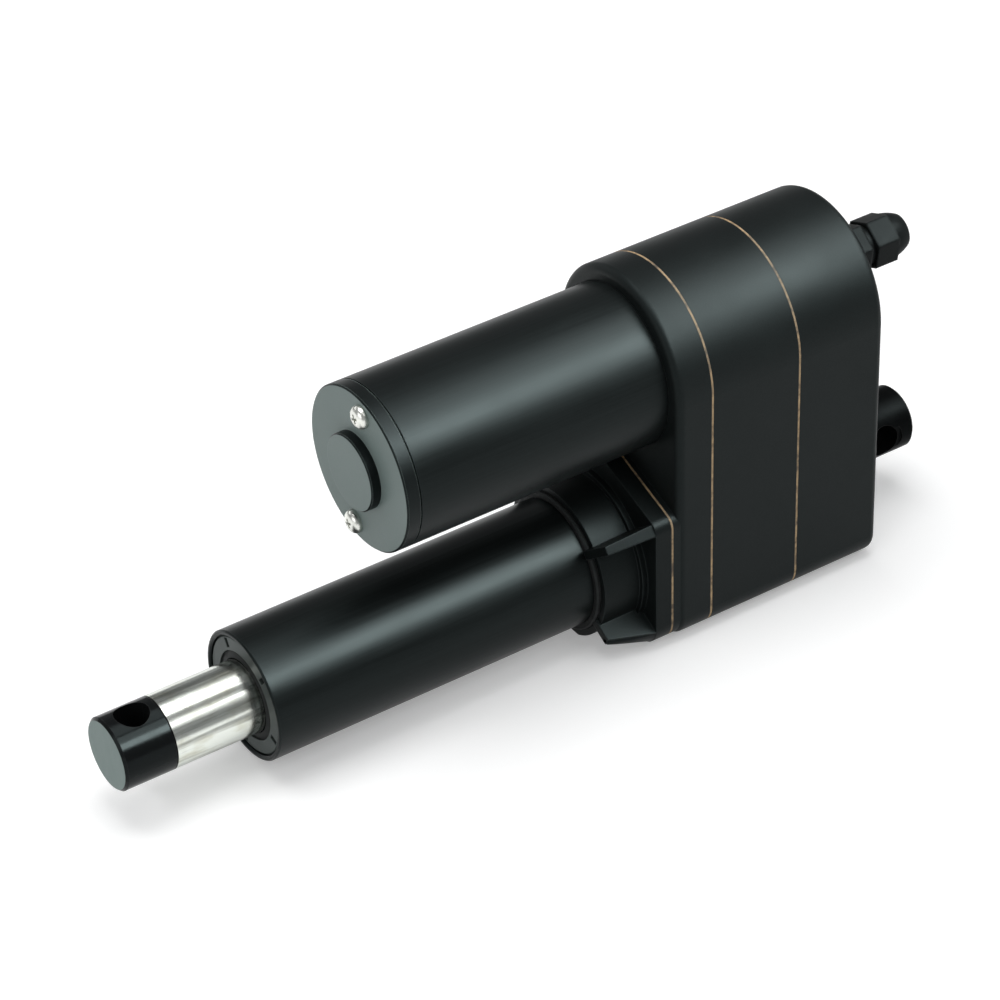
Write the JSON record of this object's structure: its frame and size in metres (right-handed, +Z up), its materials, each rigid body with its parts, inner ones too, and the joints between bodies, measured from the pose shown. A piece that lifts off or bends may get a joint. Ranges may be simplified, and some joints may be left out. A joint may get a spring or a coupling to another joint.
{
  "type": "electric linear actuator",
  "caption": "Electric linear actuator with a parallel motor, a two-stage gear housing, a lead screw and a steel rod that slides out of a round tube.",
  "frame": {"origin": "centre of the rear pin hole, on the axis of the screw, rod and tube", "axes": "+X the way the rod extends, +Z up from the screw axis to the motor axis, +Y to the left seen from behind"},
  "size_m": [0.3475, 0.075, 0.1425],
  "materials": {
    "satin_black": "satin",
    "cap_metal": "satin",
    "gasket": "matte",
    "rubber": "matte",
    "nylon": "satin",
    "plastic": "matte",
    "screw_steel": "zinc plated",
    "nickel_screw": "polished",
    "rod_steel": "bright",
    "black_steel": "gloss",
    "gear_steel": "ground",
    "bearing_steel": "ground",
    "bronze": "turned",
    "wheel_plastic": "matte",
    "magnet": "matte",
    "core": "matte",
    "copper": "satin",
    "carbon": "matte"
  },
  "bodies": {
    "base": {"rear_eye": "black_steel", "rear_eye_nut": "screw_steel", "rear_cover": "satin_black", "rear_gasket": "gasket", "middle_housing": "satin_black", "front_gasket": "gasket", "front_housing": "satin_black", "housing_screw_1": "screw_steel", "housing_screw_2": "screw_steel", "housing_screw_3": "screw_steel", "housing_screw_4": "screw_steel", "housing_screw_5": "screw_steel", "tube_gasket": "gasket", "tube_flange": "satin_black", "tube_seal": "rubber", "outer_tube": "satin_black", "front_bushing": "plastic", "wiper_retainer": "plastic", "rod_wiper": "rubber", "thrust_bearing": "bearing_steel", "screw_bearing": "bearing_steel", "shaft_bearing_rear": "bearing_steel", "shaft_bearing_front": "bearing_steel", "motor_can": "satin_black", "motor_plate": "cap_metal", "motor_end_cap": "cap_metal", "cap_screw_upper": "nickel_screw", "cap_screw_lower": "nickel_screw", "magnet_left": "magnet", "magnet_right": "magnet", "motor_bearing_front": "bearing_steel", "motor_bearing_rear": "bearing_steel", "brush_holder": "plastic", "brush_left": "carbon", "brush_right": "carbon", "gland_body": "nylon", "gland_nut": "nylon", "gland_seal": "rubber", "gland_lock_nut": "nylon"},
    "rotor": {"rotor_shaft": "gear_steel", "armature_core": "core", "winding_rear": "copper", "winding_front": "copper", "commutator": "copper", "motor_pinion": "gear_steel"},
    "intermediate": {"intermediate_shaft": "gear_steel", "intermediate_wheel": "wheel_plastic", "intermediate_pinion": "gear_steel"},
    "screw": {"lead_screw": "gear_steel", "screw_key": "screw_steel", "screw_gear": "gear_steel", "lock_nut": "screw_steel", "screw_guide": "plastic"},
    "rod": {"extension_rod": "rod_steel", "rod_end": "black_steel", "drive_nut": "bronze"}
  },
  "joints": [
    {"name": "rotor_spin", "type": "hinge", "parent": "base", "child": "rotor", "pos_m": [0, 0, 0.077], "axis": [-1, 0, 0], "range_deg": [0, 26295.65]},
    {"name": "intermediate_spin", "type": "hinge", "parent": "base", "child": "intermediate", "pos_m": [0, 0, 0.04], "axis": [-1, 0, 0], "range_deg": [-8452.17, 0]},
    {"name": "screw_spin", "type": "hinge", "parent": "base", "child": "screw", "pos_m": [0, 0, 0], "axis": [-1, 0, 0], "range_deg": [0, 7200]},
    {"name": "rod_slide", "type": "slide", "parent": "base", "child": "rod", "axis": [1, 0, 0], "range_m": [0, 0.1]}
  ],
  "couplings": [
    {"joint": "intermediate_spin", "follows": "rotor_spin", "ratio": -0.32143},
    {"joint": "screw_spin", "follows": "rotor_spin", "ratio": 0.27381},
    {"joint": "rod_slide", "follows": "rotor_spin", "m_per_rad": 0.00021789}
  ]
}
